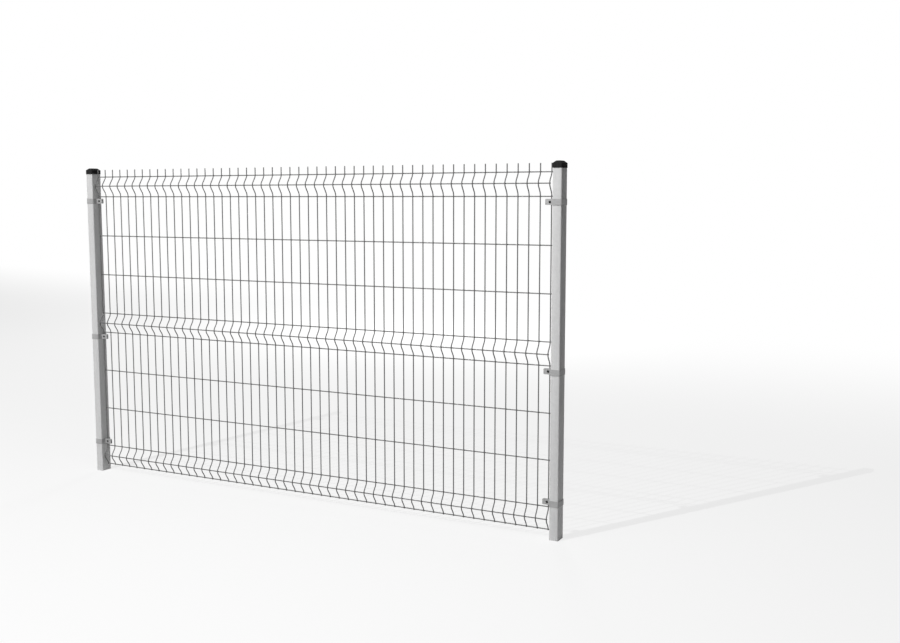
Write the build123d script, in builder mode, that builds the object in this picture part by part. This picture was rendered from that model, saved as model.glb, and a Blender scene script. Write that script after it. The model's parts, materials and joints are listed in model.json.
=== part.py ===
# Profiled fence bay: a welded wire panel with three V folds, held by strap clamps
# between two capped hollow posts. Millimetres, +Z up, X along the fence, folds towards -Y.
# The origin is on the ground, midway between the posts.
import os
from math import atan2, cos, degrees

from build123d import *

os.makedirs("parts", exist_ok=True)

# Wire mesh
wire_d = 5.0  # every wire of the panel
mesh_pitch = 50.0  # from one upright wire to the next
upright_count = 51
field_pitch = 200.0  # between level wires in the flat fields
field_spaces = 3  # spaces of that pitch between two folds
ground_gap = 36.0  # ground to the centre of the lowest wire
lowest_space = 48.0  # lowest wire to the bottom fold's ridge wire
spike = 36.0  # centre of the highest wire to the tips
wire_trim = 0.5  # a level wire's end short of the side of the last upright
weld_set_down = 0.4  # how far two crossing wires sink into each other

# V folds
fold_names = ("bottom_fold", "middle_fold", "top_fold")
field_names = ("lower_field", "upper_field")
fold_pitch = 50.0  # a fold's middle to the level wires beside it
fold_landing = 10.0  # from a fold's foot to those level wires
top_ridge_lift = 3.4  # how far the top fold is pressed above the middle of its level wires
fold_point = 27.7  # depth of the V before its ridge is rounded
ridge_radius = 25.0  # bend at the ridge, on the wire's centre line
foot_radius = 30.0  # bend at the two feet of the V

# Posts
post_w = 40.0  # along the fence
post_d = 60.0  # across the fence
post_wall = 2.0
post_inner_corner = 2.0
post_rise = 31.0  # post's top above the centre of the highest wire
post_gap = 14.5  # last upright's centre to the post's face

# Post caps
cap_fit = 0.3  # clearance round the post
cap_wall = 1.5
cap_grip = 16.0  # length of skirt that covers the post
cap_collar = 3.7  # straight side above the post's top
cap_slope_rise = 9.5
cap_slope_inset = 11.5
cap_edge = 2.5  # rounding of the crown's edges
cap_skin = 2.0  # thickness of the crown's flat

# Strap clamps
strap_t = 2.0
strap_h = 25.0
strap_fit = 0.1  # clearance round the post
strap_bend = 1.5  # inside radius where an ear leaves the post
ear_grip = 0.05  # clearance between an ear and the wire
ear_margin = 20.9  # bolt's axis to the ear's end
ear_corner = 4.0
clamp_offset = 22.5  # clamp's middle to the nearest level wire

# Clamp fasteners, M6
bolt_d = 6.0
bolt_play = 0.2  # bolt to wire, and bolt to hole, on the radius
bolt_tail = 4.4  # thread that shows past the nut
bolt_tip = 0.8  # chamfer on the end of the thread
head_d = 10.5
head_h = 3.3
head_rim = 0.8  # straight side under the head's dome
socket_af = 4.0
socket_depth = 1.9
washer_d = 12.0
washer_t = 1.6
nut_af = 10.0
nut_h = 5.0
nut_chamfer = 0.7
thread_play = 0.1  # bolt to nut, on the radius

# Places worked out from the sizes above
wire_r = wire_d / 2
weld_offset = wire_d - weld_set_down
upright_y = -weld_offset / 2  # the middle of the mesh lies in the posts' middle plane
level_y = weld_offset / 2
fold_foot = fold_pitch - fold_landing
fold_angle = atan2(fold_point, fold_foot)
ridge_depth = fold_point - ridge_radius * (1 / cos(fold_angle) - 1)
bay_rise = 2 * fold_pitch + field_spaces * field_pitch
fold_middles = [ground_gap + lowest_space + bay_rise * i for i in range(len(fold_names))]
ridge_heights = fold_middles[:-1] + [fold_middles[-1] + top_ridge_lift]
lower_heights = [ground_gap] + [middle - fold_pitch for middle in fold_middles[1:]]
upper_heights = [middle + fold_pitch for middle in fold_middles]
top_wire_z = upper_heights[-1]
panel_half = mesh_pitch * (upright_count - 1) / 2
level_half = panel_half + wire_r - wire_trim

post_x = panel_half + post_gap + post_w / 2
post_h = top_wire_z + post_rise
post_corner = post_inner_corner + post_wall

ear_in = wire_r + ear_grip
ear_out = ear_in + strap_t
bolt_reach = post_w / 2 + post_gap + wire_r + bolt_play + bolt_d / 2
ear_end = bolt_reach + ear_margin
bottom_fold, middle_fold, top_fold = range(len(fold_names))
clamp_heights = {
    "upper": lower_heights[top_fold] - clamp_offset,
    "middle": lower_heights[middle_fold] - clamp_offset,
    "lower": upper_heights[bottom_fold] + clamp_offset,
}
sides = {"left": -1, "right": 1}
same_place = 0.01  # two corners closer than this are the same one


def save(piece, name):
    piece.label = name
    export_step(piece, f"parts/{name}.step")


# Upright wires: one is bent through its folds, then set out along the panel
bend_points = [(upright_y, ground_gap - wire_r)]
bend_radii = []
for ridge_z in ridge_heights:
    bend_points.append((upright_y, ridge_z - fold_foot))
    bend_points.append((upright_y - fold_point, ridge_z))
    bend_points.append((upright_y, ridge_z + fold_foot))
    bend_radii += [foot_radius, ridge_radius, foot_radius]
bend_points.append((upright_y, top_wire_z + spike))

with BuildPart() as upright:
    with BuildLine(Plane.YZ) as bend:
        FilletPolyline(bend_points, radius=bend_radii)
    with BuildSketch(Plane.XY.offset(ground_gap - wire_r)):
        with Locations((0, upright_y)):
            Circle(wire_r)
    sweep(path=bend.line)

with BuildPart() as vertical_wires:
    with GridLocations(mesh_pitch, mesh_pitch, upright_count, 1):
        add(upright.part)
save(vertical_wires.part, "vertical_wires")


# Level wires, welded behind the uprights
def level_wire(name, depth, height):
    with BuildPart() as wire:
        with BuildSketch(Plane.YZ.offset(-level_half)):
            with Locations((depth, height)):
                Circle(wire_r)
        extrude(amount=2 * level_half)
    save(wire.part, name)


for fold, lower_z, ridge_z, upper_z in zip(fold_names, lower_heights, ridge_heights, upper_heights):
    level_wire(f"{fold}_lower_wire", level_y, lower_z)
    level_wire(f"{fold}_ridge_wire", level_y - ridge_depth, ridge_z)
    level_wire(f"{fold}_upper_wire", level_y, upper_z)

for field, upper_z in zip(field_names, upper_heights):
    for step in range(1, field_spaces):
        level_wire(f"{field}_wire_{step}", level_y, upper_z + step * field_pitch)


# Posts
def post(name, x):
    with BuildPart() as tube:
        with BuildSketch():
            with Locations((x, 0)):
                RectangleRounded(post_w, post_d, post_corner)
                RectangleRounded(
                    post_w - 2 * post_wall,
                    post_d - 2 * post_wall,
                    post_inner_corner,
                    mode=Mode.SUBTRACT,
                )
        extrude(amount=post_h)
    save(tube.part, name)


# Caps: a skirt over the post, a sloped crown and a hollow under the crown
def post_cap(name, x):
    over = cap_fit + cap_wall
    collar_z = post_h + cap_collar
    crown_z = collar_z + cap_slope_rise
    bore_w = post_w - 2 * post_wall
    bore_d = post_d - 2 * post_wall
    with BuildPart() as cap:
        with BuildSketch(Plane.XY.offset(post_h - cap_grip)):
            with Locations((x, 0)):
                RectangleRounded(post_w + 2 * over, post_d + 2 * over, post_corner + over)
        extrude(amount=cap_grip + cap_collar)
        with BuildSketch(Plane.XY.offset(collar_z)):
            with Locations((x, 0)):
                RectangleRounded(post_w + 2 * over, post_d + 2 * over, post_corner + over)
        with BuildSketch(Plane.XY.offset(crown_z)):
            with Locations((x, 0)):
                RectangleRounded(
                    post_w + 2 * (over - cap_slope_inset),
                    post_d + 2 * (over - cap_slope_inset),
                    post_corner,
                )
        loft(ruled=True)
        crown_edges = cap.faces().sort_by(Axis.Z)[-1].edges()
        fillet(crown_edges, cap_edge)
        with BuildSketch(Plane.XY.offset(post_h - cap_grip)):
            with Locations((x, 0)):
                RectangleRounded(post_w + 2 * cap_fit, post_d + 2 * cap_fit, post_corner + cap_fit)
        extrude(amount=cap_grip, mode=Mode.SUBTRACT)
        with BuildSketch(Plane.XY.offset(post_h)):
            with Locations((x, 0)):
                RectangleRounded(bore_w, bore_d, post_inner_corner)
        with BuildSketch(Plane.XY.offset(crown_z - cap_skin)):
            with Locations((x, 0)):
                RectangleRounded(
                    bore_w - 2 * cap_slope_inset, bore_d - 2 * cap_slope_inset, post_inner_corner
                )
        loft(ruled=True, mode=Mode.SUBTRACT)
    save(cap.part, name)


# A clamp's own plane: x from its post to the last upright, y to the front
def clamp_plane(side, height):
    return Plane(origin=(side * post_x, upright_y, height), x_dir=(-side, 0, 0), z_dir=(0, 0, side))


# The plane across a clamp's bolt, at a distance from the wire's middle towards the bolt head
def bolt_plane(seat, distance):
    middle = seat.from_local_coords((bolt_reach, distance, 0))
    return Plane(origin=middle, x_dir=seat.x_dir, z_dir=seat.y_dir)


# The corners of a clamp's outline that lie at x, on either side of the wire
def corners_at(corners, x, y):
    return corners.filter_by(
        lambda v: abs(v.X - x) < same_place and abs(abs(v.Y) - y) < same_place
    )


# Strap: a strip bent round the post, with two ears that grip the last upright
def clamp_strap(name, seat):
    inner_w = post_w + 2 * strap_fit
    inner_d = post_d + 2 * strap_fit
    leg_in = inner_w / 2
    leg_out = leg_in + strap_t
    post_middle = (0, upright_y)
    with BuildPart() as strap:
        with BuildSketch(seat.offset(-strap_h / 2)) as outline:
            with Locations(post_middle):
                RectangleRounded(
                    inner_w + 2 * strap_t, inner_d + 2 * strap_t, post_corner + strap_fit + strap_t
                )
            with Locations((ear_end / 2, 0)):
                Rectangle(ear_end, 2 * ear_out)
            with Locations(post_middle):
                RectangleRounded(inner_w, inner_d, post_corner + strap_fit, mode=Mode.SUBTRACT)
            with Locations((ear_end / 2, 0)):
                Rectangle(ear_end, 2 * ear_in, mode=Mode.SUBTRACT)
            corners = outline.vertices()
            fillet(corners_at(corners, leg_out, ear_out), strap_bend)
            fillet(corners_at(corners, leg_in, ear_in), strap_bend + strap_t)
        extrude(amount=strap_h)
        across = strap.edges().filter_by(Axis.Y)
        ear_ends = across.group_by(lambda edge: seat.to_local_coords(edge.center()).X)[-1]
        fillet(ear_ends, ear_corner)
        with Locations(bolt_plane(seat, ear_out)):
            Hole(bolt_d / 2 + bolt_play)
    save(strap.part, name)


# Bolt: button head with a hexagon socket, drawn as half its outline
def clamp_bolt(name, seat):
    shank = 2 * ear_out + washer_t + nut_h + bolt_tail
    head_seat = bolt_plane(seat, ear_out)
    with BuildPart() as bolt:
        with BuildSketch(Plane(origin=head_seat.origin, x_dir=seat.x_dir, z_dir=-seat.z_dir)):
            with BuildLine():
                dome = TangentArc((0, -head_h), (head_d / 2, -head_rim), tangent=(1, 0))
                Polyline(
                    dome @ 1,
                    (head_d / 2, 0),
                    (bolt_d / 2, 0),
                    (bolt_d / 2, shank - bolt_tip),
                    (bolt_d / 2 - bolt_tip, shank),
                    (0, shank),
                    dome @ 0,
                )
            make_face()
        revolve(axis=Axis(head_seat.origin, head_seat.z_dir))
        with BuildSketch(bolt_plane(seat, ear_out + head_h)):
            RegularPolygon(socket_af / 2, side_count=6, major_radius=False)
        extrude(amount=-socket_depth, mode=Mode.SUBTRACT)
    save(bolt.part, name)


def clamp_washer(name, seat):
    with BuildPart() as washer:
        with BuildSketch(bolt_plane(seat, -ear_out)):
            Circle(washer_d / 2)
            Circle(bolt_d / 2 + bolt_play, mode=Mode.SUBTRACT)
        extrude(amount=-washer_t)
    save(washer.part, name)


# Nut: a hexagon whose corners are turned off at both ends
def clamp_nut(name, seat):
    nut_seat = bolt_plane(seat, -ear_out - washer_t)
    flat_r = nut_af / 2
    turned_r = flat_r + nut_chamfer
    with BuildPart() as nut:
        with BuildSketch(nut_seat):
            RegularPolygon(flat_r, side_count=6, major_radius=False)
        extrude(amount=-nut_h)
        with BuildSketch(Plane(origin=nut_seat.origin, x_dir=seat.x_dir, z_dir=-seat.z_dir)):
            with BuildLine():
                Polyline(
                    (0, 0),
                    (flat_r, 0),
                    (turned_r, nut_chamfer / 2),
                    (turned_r, nut_h - nut_chamfer / 2),
                    (flat_r, nut_h),
                    (0, nut_h),
                    close=True,
                )
            make_face()
        revolve(axis=Axis(nut_seat.origin, nut_seat.z_dir), mode=Mode.INTERSECT)
        with Locations(nut_seat):
            Hole(bolt_d / 2 + thread_play)
    save(nut.part, name)


for side_name, side in sides.items():
    post(f"{side_name}_post", side * post_x)
    post_cap(f"{side_name}_post_cap", side * post_x)
    for level, height in clamp_heights.items():
        clamp = f"{side_name}_{level}_clamp"
        seat = clamp_plane(side, height)
        clamp_strap(clamp, seat)
        clamp_bolt(f"{clamp}_bolt", seat)
        clamp_washer(f"{clamp}_washer", seat)
        clamp_nut(f"{clamp}_nut", seat)

print(f"fold angle {degrees(fold_angle):.1f} deg, ridge depth {ridge_depth:.2f} mm")
print(f"post centres {2 * post_x:.1f} mm apart, post height {post_h:.1f} mm")
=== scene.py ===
import json
import math

import bpy
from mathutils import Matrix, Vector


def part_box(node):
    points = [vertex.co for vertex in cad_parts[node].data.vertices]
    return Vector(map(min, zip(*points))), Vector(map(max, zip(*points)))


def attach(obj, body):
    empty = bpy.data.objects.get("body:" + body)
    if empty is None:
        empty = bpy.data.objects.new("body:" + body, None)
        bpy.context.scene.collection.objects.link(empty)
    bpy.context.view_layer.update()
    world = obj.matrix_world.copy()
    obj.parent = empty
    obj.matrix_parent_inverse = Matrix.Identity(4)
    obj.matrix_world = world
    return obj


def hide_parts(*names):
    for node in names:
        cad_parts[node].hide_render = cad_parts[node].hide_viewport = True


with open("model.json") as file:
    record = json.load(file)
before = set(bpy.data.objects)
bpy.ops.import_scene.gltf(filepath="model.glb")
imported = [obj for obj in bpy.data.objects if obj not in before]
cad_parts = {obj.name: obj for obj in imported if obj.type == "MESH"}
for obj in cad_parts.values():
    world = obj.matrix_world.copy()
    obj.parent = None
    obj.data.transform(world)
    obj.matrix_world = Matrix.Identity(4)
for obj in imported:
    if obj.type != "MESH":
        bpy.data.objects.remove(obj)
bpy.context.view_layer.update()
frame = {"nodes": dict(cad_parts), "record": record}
nodes = frame["nodes"]
scene = bpy.context.scene
scene.view_settings.view_transform = "Standard"
print("frame loaded:", len(nodes), "nodes")

midTone = 0.5  # the middle of a noise, and of a blend from dark to pale


# A value in a node tree: sums on it add Math nodes
class Term:
    def __init__(self, recipe, socket):
        self.recipe = recipe
        self.socket = socket

    def math(self, operation, *others):
        return self.recipe.calc(operation, self, *others)

    def __add__(self, other):
        return self.math("ADD", other)

    def __sub__(self, other):
        return self.math("SUBTRACT", other)

    def __rsub__(self, other):
        return self.recipe.calc("SUBTRACT", other, self)

    def __mul__(self, other):
        return self.math("MULTIPLY", other)

    def __truediv__(self, other):
        return self.math("DIVIDE", other)

    def __abs__(self):
        return self.math("ABSOLUTE")

    __radd__ = __add__
    __rmul__ = __mul__


# A node tree that is being written
class Recipe:
    def __init__(self, tree):
        self.tree = tree

    def add(self, kind, settings={}, sockets={}, output=0):
        node = self.tree.nodes.new(kind)
        for name, value in settings.items():
            setattr(node, name, value)
        for name, value in sockets.items():
            for item in value if isinstance(value, list) else [value]:
                if isinstance(item, Term):
                    self.tree.links.new(item.socket, node.inputs[name])
                else:
                    node.inputs[name].default_value = item
        return Term(self, node.outputs[output]) if node.outputs else node

    def calc(self, operation, *values):
        settings = {"operation": operation}
        return self.add("ShaderNodeMath", settings, dict(enumerate(values)))

    def ramp(self, value, low, high):  # 0 below low, 1 above high, smooth between
        settings = {"interpolation_type": "SMOOTHSTEP"}
        sockets = {"Value": value, "From Min": low, "From Max": high}
        return self.add("ShaderNodeMapRange", settings, sockets)

    def blend(self, share, first, second):  # two colours
        settings = {"data_type": "RGBA"}
        return self.add("ShaderNodeMix", settings, {0: share, 6: first, 7: second}, 2)

    def noise(self, where, scale, detail):  # from 0 to 1
        sockets = {"Vector": where, "Scale": scale, "Detail": detail}
        return self.add("ShaderNodeTexNoise", {}, sockets)

    def swing(self, where, scale, detail):  # noise about zero
        return self.noise(where, scale, detail) - midTone

    def stretched(self, where, stretch):
        return self.add("ShaderNodeMapping", {}, {"Vector": where, "Scale": stretch})

    def split(self, where):
        self.add("ShaderNodeSeparateXYZ", {}, {"Vector": where})
        outputs = self.tree.nodes[-1].outputs
        return [Term(self, outputs[axis]) for axis in "XYZ"]


def grey(level, warmth=0.0):
    return (level * (1 + warmth), level, level * (1 - warmth), 1.0)


def newMaterial(name):
    material = bpy.data.materials.new(name)
    material.use_nodes = True
    material.node_tree.nodes.clear()
    return material, Recipe(material.node_tree)


def closeMaterial(recipe, sockets):
    shader = recipe.add("ShaderNodeBsdfPrincipled", {}, sockets)
    recipe.add("ShaderNodeOutputMaterial", {}, {"Surface": shader})


def bump(recipe, height):  # height in metres
    return recipe.add("ShaderNodeBump", {}, {"Height": height, "Distance": 1.0, "Strength": 1.0})


featherSwing = 0.12  # how strongly the lines show in a zinc crystal


# Zinc crystals: each has a brightness of its own and fine feathering across it
def spangle(recipe, spot, width, feather):
    sockets = {"Vector": spot, "Scale": 1 / width}
    colour = recipe.add("ShaderNodeTexVoronoi", {}, sockets, "Color")
    centre = recipe.add("ShaderNodeTexVoronoi", {}, sockets, "Position")
    brightness = recipe.add("ShaderNodeSeparateColor", {}, {"Color": colour}, "Red")
    lean = recipe.add("ShaderNodeSeparateColor", {}, {"Color": colour}, "Green") * math.tau
    inside = recipe.add("ShaderNodeVectorMath", {"operation": "SUBTRACT"}, {0: spot, 1: centre})
    x, y, z = recipe.split(inside)
    along = (x + y) * lean.math("COSINE") + z * lean.math("SINE")
    lines = (along * (math.tau / feather)).math("SINE")
    return brightness - midTone + lines * featherSwing


# Places read from the frame
def middle(name):
    low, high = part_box(name)
    return (low + high) / 2


def size(name):
    low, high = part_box(name)
    return high - low


# Distance up or down to the nearest of some heights
def toNearest(z, heights):
    distance = abs(z - heights[0])
    for height in heights[1:]:
        distance = distance.math("MINIMUM", abs(z - height))
    return distance


levelNames = sorted(n for n in nodes if "_wire" in n and n != "vertical_wires")
boltNames = sorted(n for n in nodes if n.endswith("_bolt"))
clampNames = sorted(n for n in nodes if n.endswith("_clamp"))
wireDiameter = size("upper_field_wire_1").z
levelY = middle("upper_field_wire_1").y  # the level wires lie behind the posts' middle plane
uprightY = -levelY  # the uprights lie as far in front of it
foldHeights = sorted(middle(n).z for n in levelNames if n.endswith("_ridge_wire"))
foldPitch = middle("middle_fold_upper_wire").z - middle("middle_fold_ridge_wire").z
uprightLow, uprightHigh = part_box("vertical_wires")
postX = middle("right_post").x
postSize = size("right_post")


# Finish of the posts: pale rolled steel, galvanised
postLook = {
    "dark": 0.60,
    "pale": 0.74,
    "spangle": 0.008,  # width of a zinc crystal, metres
    "feather": 0.0011,  # spacing of the lines in a crystal
    "spangleSwing": 0.24,
    "cloudScale": 5.0,
    "cloudSwing": 0.45,
    "streak": (160, 160, 1.5),  # rolling streaks per metre, across a post and along it
    "streakSwing": 0.5,
    "edgeWidth": 0.0035,
    "edgeLift": 0.22,
    "roughness": 0.50,
    "roughSwing": 0.16,
    "crystalRough": 0.1,
    "edgeSmooth": 0.1,
    "metallic": 0.03,
    "gloss": 0.12,
    "streakRelief": 0.00003,  # metres
    "crystalRelief": 0.00002,
    "broadCrown": 1.6,  # how strongly a rolled face bulges, per metre
    "narrowCrown": 5.0,
}


def postSteel():
    look = postLook
    material, recipe = newMaterial("galvanisedPost")
    spot = recipe.add("ShaderNodeTexCoord", output="Object")
    x, y = recipe.split(spot)[:2]
    crystal = spangle(recipe, spot, look["spangle"], look["feather"])
    cloud = recipe.swing(spot, look["cloudScale"], detail=4)
    streak = recipe.swing(recipe.stretched(spot, look["streak"]), 1.0, detail=2)
    across = abs(x) - postX
    acrossEdge = recipe.ramp(abs(across), postSize.x / 2 - look["edgeWidth"], postSize.x / 2)
    alongEdge = recipe.ramp(abs(y), postSize.y / 2 - look["edgeWidth"], postSize.y / 2)
    edge = acrossEdge * alongEdge
    tone = (
        midTone
        + crystal * look["spangleSwing"]
        + cloud * look["cloudSwing"]
        + streak * look["streakSwing"]
        + edge * look["edgeLift"]
    )
    rough = look["roughness"] + cloud * look["roughSwing"]
    rough = rough + crystal * look["crystalRough"] - edge * look["edgeSmooth"]
    relief = streak * look["streakRelief"] + crystal * look["crystalRelief"]
    crown = across * across * look["narrowCrown"] + y * y * look["broadCrown"]
    closeMaterial(recipe, {
        "Base Color": recipe.blend(tone, grey(look["dark"]), grey(look["pale"])),
        "Roughness": rough,
        "Metallic": look["metallic"],
        "Specular IOR Level": look["gloss"],
        "Normal": bump(recipe, relief - crown),
    })
    return material


# Finish of the wires: drawn, galvanised, dulled by the heat of the welds
wireLook = {
    "dark": 0.150,
    "pale": 0.245,
    "uprightPaintedShade": 0.87,  # painted shade: the uprights' colour is darkened so they look a little darker than the level wires, standing in for how the light falls on them
    "burnt": 0.13,
    "burntWarmth": 0.04,
    "burntShare": 0.2,
    "burntRough": 0.2,
    "burntReach": 0.006,  # how far a weld's heat shows along a wire
    "grain": 1300.0,  # drawing lines per metre round a wire, and along it
    "grainAlong": 9.0,
    "grainSwing": 1.3,
    "mottle": 420.0,  # patches of zinc per metre
    "mottleSwing": 1.9,
    "cloudScale": 14.0,
    "cloudSwing": 0.7,
    "roughness": 0.46,
    "roughSwing": 0.3,
    "metallic": 0.10,
    "gloss": 0.18,
    "relief": 0.000024,
    "weldGrain": 300.0,  # patches per metre on a weld nugget
}
levelGrain = (wireLook["grainAlong"], wireLook["grain"], wireLook["grain"])
uprightGrain = (wireLook["grain"], wireLook["grain"], wireLook["grainAlong"])
weldGrain = (wireLook["weldGrain"],) * 3


# paintedShade is a factor on the wire's colour that paints shade into it; the uprights use it
def wireSteel(name, grain, heatOf, paintedShade=1.0):
    look = wireLook
    material, recipe = newMaterial(name)
    spot = recipe.add("ShaderNodeTexCoord", output="Object")
    drawn = recipe.swing(recipe.stretched(spot, grain), 1.0, detail=2)
    mottle = recipe.swing(spot, look["mottle"], detail=4)
    cloud = recipe.swing(spot, look["cloudScale"], detail=3)
    heat = heatOf(recipe, spot)
    tone = (
        midTone
        + drawn * look["grainSwing"]
        + mottle * look["mottleSwing"]
        + cloud * look["cloudSwing"]
    )
    clean = recipe.blend(tone, grey(look["dark"] * paintedShade), grey(look["pale"] * paintedShade))
    burnt = grey(look["burnt"], look["burntWarmth"])
    rough = look["roughness"] + mottle * look["roughSwing"] + heat * look["burntRough"]
    closeMaterial(recipe, {
        "Base Color": recipe.blend(heat * look["burntShare"], clean, burnt),
        "Roughness": rough,
        "Metallic": look["metallic"],
        "Specular IOR Level": look["gloss"],
        "Normal": bump(recipe, (drawn + mottle) * look["relief"]),
    })
    return material


# Heat round a crossing, from the distance to it along the wire
def heatAt(recipe, distance):
    return 1 - recipe.ramp(distance, wireDiameter / 2, wireDiameter / 2 + wireLook["burntReach"])


def levelHeat(recipe, spot):
    steps = recipe.split(spot)[0] / uprightPitch
    return heatAt(recipe, abs(steps - steps.math("ROUND")) * uprightPitch)


def uprightHeat(recipe, spot):
    heights = sorted(middle(name).z for name in levelNames)
    return heatAt(recipe, toNearest(recipe.split(spot)[2], heights))


def weldHeat(recipe, spot):
    return recipe.noise(spot, wireLook["weldGrain"], detail=3)


# Finish of the clamp straps: galvanised strip with sheared edges
strapLook = {
    "dark": 0.36,
    "pale": 0.47,
    "sheared": 0.39,
    "shearedShare": 0.7,
    "shearedRough": 0.1,
    "shearBand": 0.0006,  # width of the sheared edges, metres
    "spangle": 0.006,
    "feather": 0.0009,
    "spangleSwing": 0.4,
    "cloudScale": 40.0,
    "cloudSwing": 0.8,
    "rolled": (30, 30, 700),  # rolling lines per metre, along a strap and across it
    "rolledSwing": 0.5,
    "roughness": 0.48,
    "roughSwing": 0.2,
    "metallic": 0.08,
    "gloss": 0.32,
    "relief": 0.000045,
}


def strapSteel():
    look = strapLook
    material, recipe = newMaterial("galvanisedStrap")
    spot = recipe.add("ShaderNodeTexCoord", output="Object")
    crystal = spangle(recipe, spot, look["spangle"], look["feather"])
    cloud = recipe.swing(spot, look["cloudScale"], detail=4)
    rolled = recipe.swing(recipe.stretched(spot, look["rolled"]), 1.0, detail=2)
    heights = sorted({round(middle(n).z, 4) for n in clampNames})
    fromMiddle = toNearest(recipe.split(spot)[2], heights)
    halfHeight = size(clampNames[0]).z / 2
    sheared = recipe.ramp(fromMiddle, halfHeight - look["shearBand"], halfHeight)
    tone = (
        midTone
        + crystal * look["spangleSwing"]
        + cloud * look["cloudSwing"]
        + rolled * look["rolledSwing"]
    )
    clean = recipe.blend(tone, grey(look["dark"]), grey(look["pale"]))
    rough = look["roughness"] + cloud * look["roughSwing"] + sheared * look["shearedRough"]
    closeMaterial(recipe, {
        "Base Color": recipe.blend(sheared * look["shearedShare"], clean, grey(look["sheared"])),
        "Roughness": rough,
        "Metallic": look["metallic"],
        "Specular IOR Level": look["gloss"],
        "Normal": bump(recipe, rolled * look["relief"]),
    })
    return material


# Finish of the bolts: black coated steel, rubbed paler in places
boltLook = {
    "black": 0.012,
    "rubbed": 0.045,
    "rubScale": 260.0,
    "rubStart": 0.5,  # level of the noise where the coat starts to wear, and where it is worn most
    "rubEnd": 0.75,
    "roughness": 0.42,
    "roughSwing": 0.3,
    "gloss": 0.3,
    "relief": 0.00002,
}


def boltBlack():
    look = boltLook
    material, recipe = newMaterial("blackBolt")
    spot = recipe.add("ShaderNodeTexCoord", output="Object")
    cloud = recipe.noise(spot, look["rubScale"], detail=4)
    rubbed = recipe.ramp(cloud, look["rubStart"], look["rubEnd"])
    closeMaterial(recipe, {
        "Base Color": recipe.blend(rubbed, grey(look["black"]), grey(look["rubbed"])),
        "Roughness": look["roughness"] + (cloud - midTone) * look["roughSwing"],
        "Specular IOR Level": look["gloss"],
        "Normal": bump(recipe, cloud * look["relief"]),
    })
    return material


# Finish of the nuts and washers: bright zinc plating
zincLook = {
    "dark": 0.36,
    "pale": 0.52,
    "warmth": 0.02,
    "cloudScale": 180.0,
    "turned": (300, 2500, 300),  # turning marks per metre, across the bolt and along it
    "roughness": 0.38,
    "roughSwing": 0.25,
    "metallic": 0.35,
    "relief": 0.000015,
}


def zincPlate():
    look = zincLook
    material, recipe = newMaterial("zincFastener")
    spot = recipe.add("ShaderNodeTexCoord", output="Object")
    cloud = recipe.noise(spot, look["cloudScale"], detail=4)
    turned = recipe.noise(recipe.stretched(spot, look["turned"]), 1.0, detail=2)
    closeMaterial(recipe, {
        "Base Color": recipe.blend(cloud, grey(look["dark"]), grey(look["pale"], look["warmth"])),
        "Roughness": look["roughness"] + (cloud - midTone) * look["roughSwing"],
        "Metallic": look["metallic"],
        "Normal": bump(recipe, turned * look["relief"]),
    })
    return material


# Finish of the caps: black moulded plastic with a fine grain
capLook = {
    "black": 0.024,
    "dusty": 0.036,
    "scuff": 140.0,
    "scuffStart": 0.45,
    "scuffEnd": 0.75,
    "scuffRough": 0.12,
    "grain": 900.0,
    "roughness": 0.58,
    "roughSwing": 0.2,
    "gloss": 0.008,
    "relief": 0.000025,
}


def capPlastic():
    look = capLook
    material, recipe = newMaterial("capPlastic")
    spot = recipe.add("ShaderNodeTexCoord", output="Object")
    grain = recipe.swing(spot, look["grain"], detail=2)
    cloud = recipe.noise(spot, look["scuff"], detail=5)
    scuffed = recipe.ramp(cloud, look["scuffStart"], look["scuffEnd"])
    rough = look["roughness"] + grain * look["roughSwing"] + scuffed * look["scuffRough"]
    closeMaterial(recipe, {
        "Base Color": recipe.blend(scuffed, grey(look["black"]), grey(look["dusty"])),
        "Roughness": rough,
        "Specular IOR Level": look["gloss"],
        "Normal": bump(recipe, grain * look["relief"]),
    })
    return material


# Geometry Nodes: a tree with named inputs, run once on a mesh
def newTree(name, inputs):
    tree = bpy.data.node_groups.new(name, "GeometryNodeTree")
    tree.interface.new_socket("Geometry", in_out="INPUT", socket_type="NodeSocketGeometry")
    for label, kind in inputs.items():
        tree.interface.new_socket(label, in_out="INPUT", socket_type="NodeSocket" + kind)
    tree.interface.new_socket("Geometry", in_out="OUTPUT", socket_type="NodeSocketGeometry")
    recipe = Recipe(tree)
    recipe.add("NodeGroupInput")
    entry = {s.name: Term(recipe, s) for s in tree.nodes[-1].outputs if s.name}
    return recipe, entry


def closeTree(recipe, geometry, material):
    whole = recipe.add("GeometryNodeRealizeInstances", {}, {"Geometry": geometry})
    dressed = recipe.add("GeometryNodeSetMaterial", {}, {"Geometry": whole, "Material": material})
    recipe.add("NodeGroupOutput", {}, {"Geometry": dressed})


def smoothed(recipe, geometry, sharpDeg):
    soft = recipe.add("GeometryNodeSetShadeSmooth", {"domain": "FACE"}, {"Geometry": geometry})
    angle = recipe.add("GeometryNodeInputMeshEdgeAngle")
    sharp = recipe.calc("GREATER_THAN", angle, math.radians(sharpDeg))
    sockets = {"Geometry": soft, "Selection": sharp, "Shade Smooth": False}
    return recipe.add("GeometryNodeSetShadeSmooth", {"domain": "EDGE"}, sockets)


def grown(name, mesh, recipe, values):
    piece = bpy.data.objects.new(name, mesh)
    scene.collection.objects.link(piece)
    modifier = piece.modifiers.new(name, "NODES")
    modifier.node_group = recipe.tree
    sockets = {s.name: s.identifier for s in recipe.tree.interface.items_tree if s.in_out == "INPUT"}
    for label, value in values.items():
        modifier[sockets[label]] = value
    graph = bpy.context.evaluated_depsgraph_get()
    plain = bpy.data.meshes.new_from_object(piece.evaluated_get(graph))
    piece.modifiers.remove(modifier)
    piece.data = plain
    plain.name = name
    print(name, len(plain.polygons), "faces")
    return piece


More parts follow.
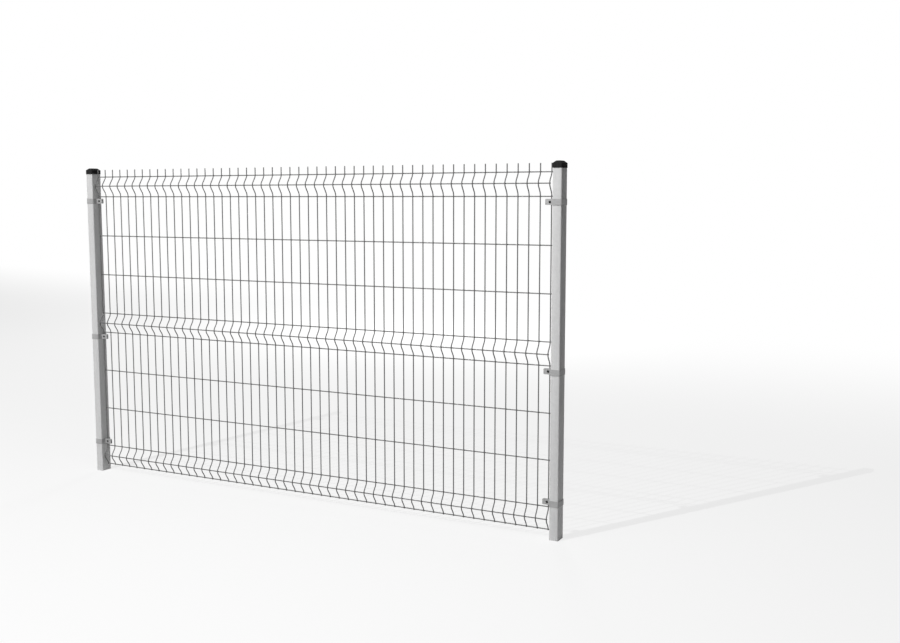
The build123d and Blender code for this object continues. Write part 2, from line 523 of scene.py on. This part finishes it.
# Upright wires: one bent centre line, copied along the panel
uprights = {
    "count": 51,
    "foldLanding": 0.010,  # straight wire between a fold's foot and the level wire beside it
    "foldPoint": 0.0277,  # depth of the V before its ridge is rounded
    "ridgeRadius": 0.025,
    "footRadius": 0.030,
    "tipLength": 0.0006,  # chamfer at a cut end
    "tipGirth": 0.76,
    "sides": 12,
    "bendSteps": 6,
    "mergeGap": 0.00002,  # points closer than this become one
    "sharpDeg": 35,
}
uprightPitch = (uprightHigh.x - uprightLow.x - wireDiameter) / (uprights["count"] - 1)
firstX = uprightLow.x + wireDiameter / 2
rowInputs = {"Count": "Int", "Pitch": "Float", "First": "Float"}
rowValues = {"Count": uprights["count"], "Pitch": uprightPitch, "First": firstX}


# One point for each upright, along the panel
def uprightRow(recipe, entry):
    start = recipe.add("ShaderNodeCombineXYZ", {}, {"X": entry["First"]})
    step = recipe.add("ShaderNodeCombineXYZ", {}, {"X": entry["Pitch"]})
    sockets = {"Count": entry["Count"], "Start Location": start, "Offset": step}
    return recipe.add("GeometryNodeMeshLine", {}, sockets)


def bentLine():
    foot = foldPitch - uprights["foldLanding"]
    tip = uprights["tipLength"]
    route = [(0, uprightLow.z, 0, uprights["tipGirth"]), (0, uprightLow.z + tip, 0, 1)]
    for height in foldHeights:
        route.append((0, height - foot, uprights["footRadius"], 1))
        route.append((-uprights["foldPoint"], height, uprights["ridgeRadius"], 1))
        route.append((0, height + foot, uprights["footRadius"], 1))
    route += [(0, uprightHigh.z - tip, 0, 1), (0, uprightHigh.z, 0, uprights["tipGirth"])]
    mesh = bpy.data.meshes.new("bentLine")
    places = [(0, uprightY + y, z) for y, z, radius, girth in route]
    mesh.from_pydata(places, [(i, i + 1) for i in range(len(route) - 1)], [])
    for label, column in (("bendRadius", 2), ("girth", 3)):
        attribute = mesh.attributes.new(label, "FLOAT", "POINT")
        attribute.data.foreach_set("value", [point[column] for point in route])
    return mesh


def makeUprights(material):
    inputs = {
        "Wire Diameter": "Float",
        "Sides": "Int",
        "Bend Steps": "Int",
        "Merge Gap": "Float",
        "Material": "Material",
        **rowInputs,
    }
    recipe, entry = newTree("uprightWires", inputs)
    named = "GeometryNodeInputNamedAttribute"
    radius = recipe.add(named, {"data_type": "FLOAT"}, {"Name": "bendRadius"})
    girth = recipe.add(named, {"data_type": "FLOAT"}, {"Name": "girth"})
    line = recipe.add("GeometryNodeMeshToCurve", {}, {"Mesh": entry["Geometry"]})
    sockets = {"Curve": line, "Count": entry["Bend Steps"], "Radius": radius}
    bent = recipe.add("GeometryNodeFilletCurve", {"mode": "POLY"}, sockets)
    sockets = {"Resolution": entry["Sides"], "Radius": entry["Wire Diameter"] * 0.5}
    section = recipe.add("GeometryNodeCurvePrimitiveCircle", {}, sockets)
    sockets = {"Curve": bent, "Profile Curve": section, "Scale": girth, "Fill Caps": True}
    wire = recipe.add("GeometryNodeCurveToMesh", {}, sockets)
    sockets = {"Geometry": wire, "Distance": entry["Merge Gap"]}
    wire = recipe.add("GeometryNodeMergeByDistance", {}, sockets)
    wire = smoothed(recipe, wire, uprights["sharpDeg"])
    sockets = {"Points": uprightRow(recipe, entry), "Instance": wire}
    panel = recipe.add("GeometryNodeInstanceOnPoints", {}, sockets)
    closeTree(recipe, panel, entry["Material"])
    values = {
        "Wire Diameter": wireDiameter,
        "Sides": uprights["sides"],
        "Bend Steps": uprights["bendSteps"],
        "Merge Gap": uprights["mergeGap"],
        "Material": material,
        **rowValues,
    }
    return grown("uprightWires", bentLine(), recipe, values)


# Weld nuggets: metal squeezed out where an upright crosses a level wire
welds = {
    "width": 0.0056,
    "thickness": 0.0026,
    "swing": 0.14,  # how much their sizes differ
    "sides": 8,
    "rings": 5,
    "seed": 7,
}


def crossingColumn():
    mesh = bpy.data.meshes.new("crossingColumn")
    places = [middle(name) for name in levelNames]
    mesh.from_pydata([(0, place.y - levelY, place.z) for place in places], [], [])
    return mesh


def makeWelds(material):
    inputs = {
        "Width": "Float",
        "Thickness": "Float",
        "Swing": "Float",
        "Seed": "Int",
        "Material": "Material",
        **rowInputs,
    }
    recipe, entry = newTree("weldNuggets", inputs)
    sockets = {"Points": uprightRow(recipe, entry), "Instance": entry["Geometry"]}
    columns = recipe.add("GeometryNodeInstanceOnPoints", {}, sockets)
    crossings = recipe.add("GeometryNodeRealizeInstances", {}, {"Geometry": columns})
    sockets = {"Segments": welds["sides"], "Rings": welds["rings"], "Radius": 0.5}
    ball = recipe.add("GeometryNodeMeshUVSphere", {}, sockets)
    sockets = {"X": entry["Width"], "Y": entry["Thickness"], "Z": entry["Width"]}
    squeeze = recipe.add("ShaderNodeCombineXYZ", {}, sockets)
    nugget = recipe.add("GeometryNodeTransform", {}, {"Geometry": ball, "Scale": squeeze})
    nugget = recipe.add("GeometryNodeSetShadeSmooth", {}, {"Geometry": nugget})
    sockets = {2: 0.0, 3: math.tau, "Seed": entry["Seed"]}
    spin = recipe.add("FunctionNodeRandomValue", {"data_type": "FLOAT"}, sockets, 1)
    turn = recipe.add("ShaderNodeCombineXYZ", {}, {"Y": spin})
    turn = recipe.add("FunctionNodeEulerToRotation", {}, {"Euler": turn})
    sockets = {2: 1 - entry["Swing"], 3: 1 + entry["Swing"], "Seed": entry["Seed"] + 1}
    grow = recipe.add("FunctionNodeRandomValue", {"data_type": "FLOAT"}, sockets, 1)
    sockets = {"Points": crossings, "Instance": nugget, "Rotation": turn, "Scale": grow}
    beads = recipe.add("GeometryNodeInstanceOnPoints", {}, sockets)
    closeTree(recipe, beads, entry["Material"])
    values = {
        "Width": welds["width"],
        "Thickness": welds["thickness"],
        "Swing": welds["swing"],
        "Seed": welds["seed"],
        "Material": material,
        **rowValues,
    }
    return grown("weldNuggets", crossingColumn(), recipe, values)


# Clamp bolts: button head with a socket, and a thread wound round the shank
bolts = {
    "headDiameter": 0.0105,
    "headHeight": 0.0033,
    "headRim": 0.0008,
    "socketAcross": 0.004,
    "socketDepth": 0.0019,
    "socketMouth": 1.25,  # width of the socket's chamfer over the socket's own
    "socketChamfer": 0.0003,
    "coreDiameter": 0.0052,
    "threadDiameter": 0.006,
    "threadPitch": 0.001,
    "threadSteps": 18,
    "threadSides": 4,
    "tip": 0.0008,
    "seat": 0.00455,  # wire's middle to the underside of the head
    "domeSteps": 5,
    "domeFullness": 0.98,  # at 1 the dome's edge would run along the bolt
    "sides": 24,
    "sharpDeg": 30,
}


# A body of rings round the Y axis, closed at both ends
def ringedMesh(name, rings, sides):
    corner = math.pi / 3
    points = []
    for radius, depth, hexagonal in rings:
        for i in range(sides):
            angle = math.tau * i / sides
            reach = radius
            if hexagonal:
                reach = radius / math.cos((angle + corner / 2) % corner - corner / 2)
            points.append((reach * math.cos(angle), depth, reach * math.sin(angle)))
    faces = []
    for ring in range(len(rings) - 1):
        for i in range(sides):
            here, after = ring * sides + i, ring * sides + (i + 1) % sides
            faces.append((here, here + sides, after + sides, after))
    last = (len(rings) - 1) * sides
    faces.append(tuple(range(sides)))
    faces.append(tuple(last + i for i in reversed(range(sides))))
    mesh = bpy.data.meshes.new(name)
    mesh.from_pydata(points, [], faces)
    return mesh


def boltRings(shankEnd):
    across = bolts["socketAcross"] / 2
    face = -bolts["seat"] - bolts["headHeight"]
    rimDepth = -bolts["seat"] - bolts["headRim"]
    headRadius = bolts["headDiameter"] / 2
    mouth = across * bolts["socketMouth"]
    rings = [
        (across, face + bolts["socketDepth"], True),
        (across, face + bolts["socketChamfer"], True),
    ]
    for i in range(bolts["domeSteps"] + 1):
        share = i / bolts["domeSteps"]
        radius = mouth + (headRadius - mouth) * share
        slope = (radius / headRadius) ** 2 * bolts["domeFullness"]
        drop = (rimDepth - face) * (1 - math.sqrt(1 - slope))
        rings.append((radius, face + drop, False))
    core = bolts["coreDiameter"] / 2
    rings.append((headRadius, -bolts["seat"], False))
    rings.append((core, -bolts["seat"], False))
    rings.append((core, shankEnd - bolts["tip"], False))
    rings.append((core - bolts["tip"], shankEnd, False))
    return rings


# Thread: a ridge wound round the Y axis
def woundThread(recipe, entry):
    middleRadius = (entry["Thread Diameter"] - entry["Thread Depth"] * 2) * 0.5
    sockets = {
        "Resolution": bolts["threadSteps"],
        "Rotations": entry["Turns"],
        "Start Radius": middleRadius,
        "End Radius": middleRadius,
        "Height": entry["Thread Length"],
    }
    helix = recipe.add("GeometryNodeCurveSpiral", {}, sockets)
    helix = recipe.add("GeometryNodeSetCurveNormal", {"mode": "Z_UP"}, {"Curve": helix})
    sockets = {"Resolution": bolts["threadSides"], "Radius": entry["Thread Depth"]}
    ridge = recipe.add("GeometryNodeCurvePrimitiveCircle", {}, sockets)
    sockets = {"Curve": helix, "Profile Curve": ridge, "Fill Caps": True}
    thread = recipe.add("GeometryNodeCurveToMesh", {}, sockets)
    shift = recipe.add("ShaderNodeCombineXYZ", {}, {"Y": entry["Thread Start"]})
    sockets = {"Geometry": thread, "Translation": shift, "Rotation": (-math.pi / 2, 0, 0)}
    return recipe.add("GeometryNodeTransform", {}, sockets)


def makeBolts(material):
    inputs = {
        "Bolt Body": "Object",
        "Thread Diameter": "Float",
        "Thread Depth": "Float",
        "Turns": "Float",
        "Thread Length": "Float",
        "Thread Start": "Float",
        "Material": "Material",
    }
    recipe, entry = newTree("clampBolts", inputs)
    body = recipe.add("GeometryNodeObjectInfo", {}, {"Object": entry["Bolt Body"]}, "Geometry")
    thread = woundThread(recipe, entry)
    bolt = recipe.add("GeometryNodeJoinGeometry", {}, {"Geometry": [body, thread]})
    bolt = smoothed(recipe, bolt, bolts["sharpDeg"])
    sockets = {"Points": entry["Geometry"], "Instance": bolt}
    group = recipe.add("GeometryNodeInstanceOnPoints", {}, sockets)
    closeTree(recipe, group, entry["Material"])

    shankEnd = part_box(boltNames[0])[1].y - uprightY
    bodyMesh = ringedMesh("boltBody", boltRings(shankEnd), bolts["sides"])
    bodyPiece = bpy.data.objects.new("boltBody", bodyMesh)
    scene.collection.objects.link(bodyPiece)
    seats = bpy.data.meshes.new("boltSeats")
    places = [middle(name) for name in boltNames]
    seats.from_pydata([(place.x, uprightY, place.z) for place in places], [], [])
    threadLength = shankEnd - bolts["tip"] + bolts["seat"] - 2 * bolts["threadPitch"]
    values = {
        "Bolt Body": bodyPiece,
        "Thread Diameter": bolts["threadDiameter"],
        "Thread Depth": (bolts["threadDiameter"] - bolts["coreDiameter"]) / 2,
        "Turns": threadLength / bolts["threadPitch"],
        "Thread Length": threadLength,
        "Thread Start": bolts["threadPitch"] - bolts["seat"],
        "Material": material,
    }
    piece = grown("clampBolts", seats, recipe, values)
    bpy.data.objects.remove(bodyPiece)
    return piece


# The pieces take their finishes, and the new ones ride on the fence
finishes = {
    "galvanised_post": postSteel(),
    "galvanised_wire": wireSteel("levelWire", levelGrain, levelHeat),
    "galvanised_strap": strapSteel(),
    "black_bolt": boltBlack(),
    "zinc_fastener": zincPlate(),
    "cap_plastic": capPlastic(),
}
for part in frame["record"]["subparts"]:
    mesh = nodes[part["node"]].data
    mesh.materials.clear()
    mesh.materials.append(finishes[part["material_slot"]])

# the uprights' wire gets painted shade: its colour is darkened by uprightPaintedShade
uprightSteel = wireSteel("uprightWire", uprightGrain, uprightHeat, wireLook["uprightPaintedShade"])
weldSteel = wireSteel("weldNugget", weldGrain, weldHeat)
uprightWires = makeUprights(uprightSteel)
weldNuggets = makeWelds(weldSteel)
clampBolts = makeBolts(finishes["black_bolt"])
for piece, slot in (
    (uprightWires, "galvanised_wire"),
    (weldNuggets, "galvanised_wire"),
    (clampBolts, "black_bolt"),
):
    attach(piece, "fence")
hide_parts("vertical_wires")
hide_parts(*boltNames)
print("pieces ride on their bodies")


# Stage: a pale floor that turns white at a sweep behind the object
stage = {
    "reach": 60.0,
    "drop": 0.0006,  # how far the floor lies under the posts' feet
    "albedo": 0.935,
    "wash": 0.772,  # share of plain white in what the camera sees of the floor
    "sweepTurnDeg": 16.7,
    "sweepStart": 2.0,
    "sweepEnd": 7.4,
    "fadeStart": 15.0,  # distance from the object where the floor starts to turn white all round
    "fadeEnd": 40.0,
    "nearBounce": 0.85,  # light that the floor throws back at the object, close by and far off
    "farBounce": 0.57,
    "nearReach": 1.6,
    "farReach": 3.6,
    "fill": 0.02,  # even light from all round
}


# 1 for rays that should see the bright backdrop
def seenDirectly(recipe):
    recipe.add("ShaderNodeLightPath")
    outputs = recipe.tree.nodes[-1].outputs
    rays = [Term(recipe, outputs[f"Is {kind} Ray"]) for kind in ("Camera", "Glossy", "Transmission")]
    return rays[0].math("MAXIMUM", rays[1]).math("MAXIMUM", rays[2])


def makeFloor():
    material, recipe = newMaterial("paleFloor")
    x, y = recipe.split(recipe.add("ShaderNodeTexCoord", output="Object"))[:2]
    turn = math.radians(stage["sweepTurnDeg"])
    away = x * math.sin(turn) + y * math.cos(turn)
    distance = (x * x + y * y).math("SQRT")
    sweep = recipe.ramp(away, stage["sweepStart"], stage["sweepEnd"])
    sweep = sweep.math("MAXIMUM", recipe.ramp(distance, stage["fadeStart"], stage["fadeEnd"]))
    seen = seenDirectly(recipe)
    wash = (stage["wash"] + sweep * (1 - stage["wash"])) * seen
    far = recipe.ramp(distance, stage["nearReach"], stage["farReach"])
    bounce = recipe.blend(far, grey(stage["nearBounce"]), grey(stage["farBounce"]))
    tone = recipe.blend(seen, bounce, grey(stage["albedo"]))
    matt = recipe.add("ShaderNodeBsdfDiffuse", {}, {"Color": tone})
    white = recipe.add("ShaderNodeEmission", {}, {"Color": grey(1.0), "Strength": 1.0})
    surface = recipe.add("ShaderNodeMixShader", {}, {0: wash, 1: matt, 2: white})
    recipe.add("ShaderNodeOutputMaterial", {}, {"Surface": surface})
    reach, level = stage["reach"], -stage["drop"]
    corners = [(-reach, -reach), (reach, -reach), (reach, reach), (-reach, reach)]
    mesh = bpy.data.meshes.new("floor")
    mesh.from_pydata([(x, y, level) for x, y in corners], [], [(0, 1, 2, 3)])
    mesh.materials.append(material)
    floor = bpy.data.objects.new("floor", mesh)
    scene.collection.objects.link(floor)


def makeWorld():
    world = bpy.data.worlds.new("studio")
    scene.world = world
    world.use_nodes = True
    world.node_tree.nodes.clear()
    recipe = Recipe(world.node_tree)
    strength = stage["fill"] + seenDirectly(recipe) * (1 - stage["fill"])
    sky = recipe.add("ShaderNodeBackground", {}, {"Color": grey(1.0), "Strength": strength})
    recipe.add("ShaderNodeOutputWorld", {}, {"Surface": sky})


# Lamps: a small key from the front left, a broad soft one overhead and one behind
lamps = {
    "key": {"kind": "POINT", "place": (-2.1, -6.1, 6.75), "watts": 2210.0, "width": 0.03},
    "overhead": {"kind": "AREA", "place": (0.8, -1.5, 3.15), "watts": 26.0, "width": 1.6},
    "behind": {"kind": "POINT", "place": (-2.6, 7.0, 2.1), "watts": 720.0, "width": 1.6},
}


def makeLamps():
    for name, lamp in lamps.items():
        light = bpy.data.lights.new(name, lamp["kind"])
        light.energy = lamp["watts"]
        if lamp["kind"] == "AREA":
            light.size = lamp["width"]
        else:
            light.shadow_soft_size = lamp["width"] / 2
        stand = bpy.data.objects.new(name, light)
        stand.location = lamp["place"]
        stand.visible_camera = False
        scene.collection.objects.link(stand)


# Camera: where the photograph was taken from
view = {
    "place": (2.9357, -4.1414, 1.4260),
    "turnDeg": 27.4814,  # to the left of +Y
    "tiltDeg": 6.4817,  # below the horizon
    "lens": 43.3634,  # millimetres, as is the sensor's width
    "sensor": 36.0,
    "farthest": 200.0,
}


def makeCamera():
    eye = bpy.data.cameras.new("camera")
    eye.lens = view["lens"]
    eye.sensor_width = view["sensor"]
    eye.clip_end = view["farthest"]
    stand = bpy.data.objects.new("camera", eye)
    stand.location = view["place"]
    stand.rotation_euler = (math.radians(90 - view["tiltDeg"]), 0, math.radians(view["turnDeg"]))
    scene.collection.objects.link(stand)
    scene.camera = stand


makeFloor()
makeWorld()
makeLamps()
makeCamera()
print("stage, lamps and camera set")
